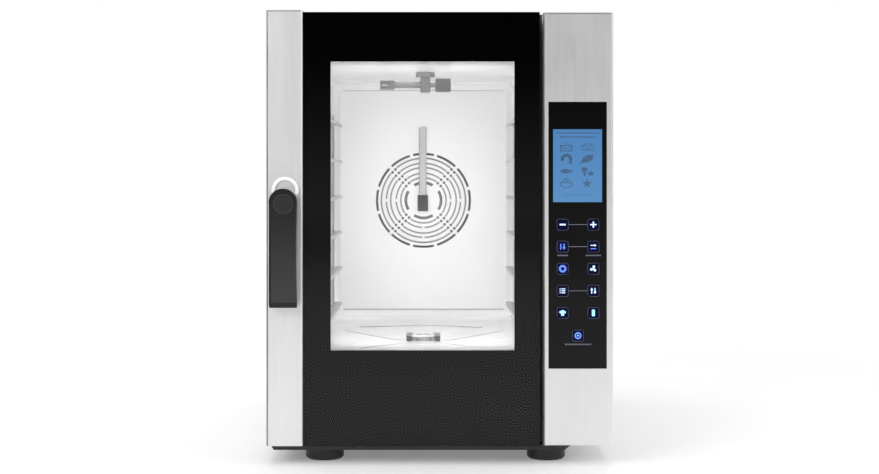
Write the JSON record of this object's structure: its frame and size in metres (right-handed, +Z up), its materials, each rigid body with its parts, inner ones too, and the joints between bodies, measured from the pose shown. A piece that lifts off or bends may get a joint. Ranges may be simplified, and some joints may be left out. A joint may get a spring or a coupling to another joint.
{
  "type": "combi steamer oven",
  "caption": "Compact countertop combi steamer oven with a glass door, lever handle, touch panel, tray racks, fan and washing arm.",
  "frame": {"origin": "on the floor under the middle of the bounding box", "axes": "+Z up, +X to the right as seen from the front, +Y from the front to the back"},
  "size_m": [0.55, 0.825, 0.722],
  "materials": {
    "brushed_steel": "vertical brushed stainless sheet",
    "cavity_steel": "bright cavity stainless",
    "baffle_steel": "bright satin stainless",
    "polished_steel": "polished stainless",
    "pipe_steel": "plain stainless",
    "fastener_steel": "plated steel",
    "galvanised": "galvanised sheet",
    "black_enamel": "black print",
    "frame_black": "black anodised",
    "motor_aluminium": "cast",
    "heater_metal": "dark heat-stained tube",
    "injector_dark": "dark block",
    "inlet_brass": "plain brass",
    "clear_glass": "clear tempered glass",
    "panel_glass": "black printed panel",
    "display_panel": "lit blue display",
    "key_film": "dark blue key film",
    "circuit_board": "board",
    "black_plastic": "black plastic",
    "handle_plastic": "satin black plastic",
    "gasket_rubber": "silicone",
    "seal_plastic": "ptfe",
    "mineral_wool": "insulation wool"
  },
  "bodies": {
    "cabinet": {"base_plinth": "black_enamel", "bottom_panel": "galvanised", "left_side_panel": "brushed_steel", "right_side_panel": "brushed_steel", "top_panel": "brushed_steel", "back_panel": "brushed_steel", "casing_screws": "fastener_steel", "front_frame": "brushed_steel", "latch_strike": "fastener_steel", "hinge_brackets": "fastener_steel", "door_gasket": "gasket_rubber", "cavity_liner": "cavity_steel", "insulation_wrap": "mineral_wool", "drain_outlet": "pipe_steel", "lamp_pane": "clear_glass", "lamp_housing": "cavity_steel", "fan_baffle": "baffle_steel", "baffle_posts": "cavity_steel", "shaft_seal": "seal_plastic", "motor_plate": "galvanised", "fan_motor": "motor_aluminium", "heater_ring": "heater_metal", "injection_pipe": "pipe_steel", "injection_block": "injector_dark", "wash_hub": "pipe_steel", "exhaust_pipe": "pipe_steel", "water_inlets": "inlet_brass", "cable_gland": "black_plastic", "equipotential_stud": "inlet_brass", "control_fascia": "brushed_steel", "control_glass": "panel_glass", "display": "display_panel", "touch_keys": "key_film", "control_board": "circuit_board", "left_rack": "pipe_steel", "right_rack": "pipe_steel"},
    "door": {"outer_glass": "clear_glass", "glass_print": "black_enamel", "door_frame": "frame_black", "inner_glass": "clear_glass", "inner_glass_seal": "gasket_rubber", "inner_glass_clips": "fastener_steel", "hinge_bushes": "seal_plastic", "door_column": "brushed_steel", "column_lining": "black_plastic", "handle_rose": "polished_steel"},
    "handle": {"handle_lever": "handle_plastic", "handle_cap": "handle_plastic", "handle_spindle": "fastener_steel", "latch_hook": "fastener_steel"},
    "fan": {"fan_impeller": "cavity_steel", "fan_shaft": "fastener_steel", "fan_nut": "fastener_steel"},
    "wash_rotor": {"wash_arm": "pipe_steel", "wash_jets": "pipe_steel"},
    "strainer": {"drain_strainer": "cavity_steel"},
    "foot_front_left_body": {"foot_front_left": "black_plastic"},
    "foot_front_right_body": {"foot_front_right": "black_plastic"},
    "foot_rear_left_body": {"foot_rear_left": "black_plastic"},
    "foot_rear_right_body": {"foot_rear_right": "black_plastic"}
  },
  "joints": [
    {"name": "door_hinge", "type": "hinge", "parent": "cabinet", "child": "door", "pos_m": [0.1455, -0.3655, 0.0308], "axis": [0, 0, 1], "range_deg": [0, 110]},
    {"name": "handle_turn", "type": "hinge", "parent": "door", "child": "handle", "pos_m": [-0.245, -0.3775, 0.415], "axis": [0, -1, 0], "range_deg": [0, 60]},
    {"name": "fan_spin", "type": "hinge", "parent": "cabinet", "child": "fan", "pos_m": [-0.02845, 0.2335, 0.411], "axis": [0, -1, 0], "continuous": true},
    {"name": "wash_spin", "type": "hinge", "parent": "cabinet", "child": "wash_rotor", "pos_m": [-0.02405, -0.0475, 0.622], "axis": [0, 0, 1], "continuous": true},
    {"name": "strainer_lift", "type": "slide", "parent": "cabinet", "child": "strainer", "axis": [0, 0, 1], "range_m": [0, 0.12]},
    {"name": "foot_front_left_screw", "type": "slide", "parent": "cabinet", "child": "foot_front_left_body", "axis": [0, 0, -1], "range_m": [0, 0.02]},
    {"name": "foot_front_right_screw", "type": "slide", "parent": "cabinet", "child": "foot_front_right_body", "axis": [0, 0, -1], "range_m": [0, 0.02]},
    {"name": "foot_rear_left_screw", "type": "slide", "parent": "cabinet", "child": "foot_rear_left_body", "axis": [0, 0, -1], "range_m": [0, 0.02]},
    {"name": "foot_rear_right_screw", "type": "slide", "parent": "cabinet", "child": "foot_rear_right_body", "axis": [0, 0, -1], "range_m": [0, 0.02]}
  ]
}
